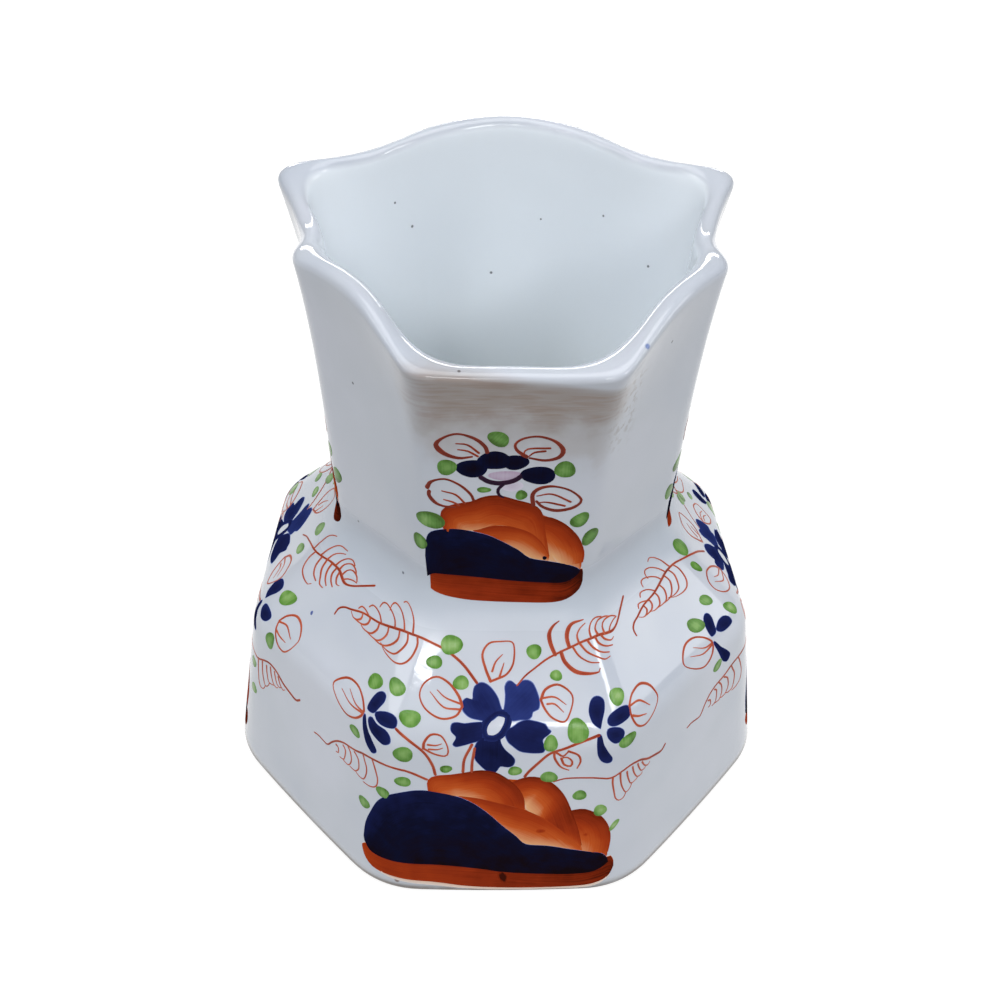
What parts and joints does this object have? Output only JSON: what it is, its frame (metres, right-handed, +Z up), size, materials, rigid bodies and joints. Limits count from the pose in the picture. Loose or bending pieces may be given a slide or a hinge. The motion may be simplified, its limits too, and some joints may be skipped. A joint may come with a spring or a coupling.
{
  "type": "octagonal jug",
  "caption": "Eight-sided pouring jug with a splayed body, sloping shoulder, upright neck, waved flaring rim, foot ring and loop handle.",
  "frame": {"origin": "on the jug's axis, in the plane of the foot", "axes": "+Z up; -Y towards the pouring lip; +Y towards the handle"},
  "size_m": [0.134, 0.134, 0.1367],
  "materials": {
    "glazed_body": "clear gloss glaze over bluish white earthenware",
    "bare_foot": "glaze worn and wiped from the standing edge",
    "cobalt_painting": "dark blue painted under the glaze",
    "enamel_painting": "iron red, orange and green enamels painted over the glaze"
  },
  "bodies": {
    "root": {"body_wall": "glazed_body", "neck_wall": "glazed_body", "base_floor": "glazed_body", "foot_ring": "bare_foot", "handle": "glazed_body"}
  },
  "joints": []
}
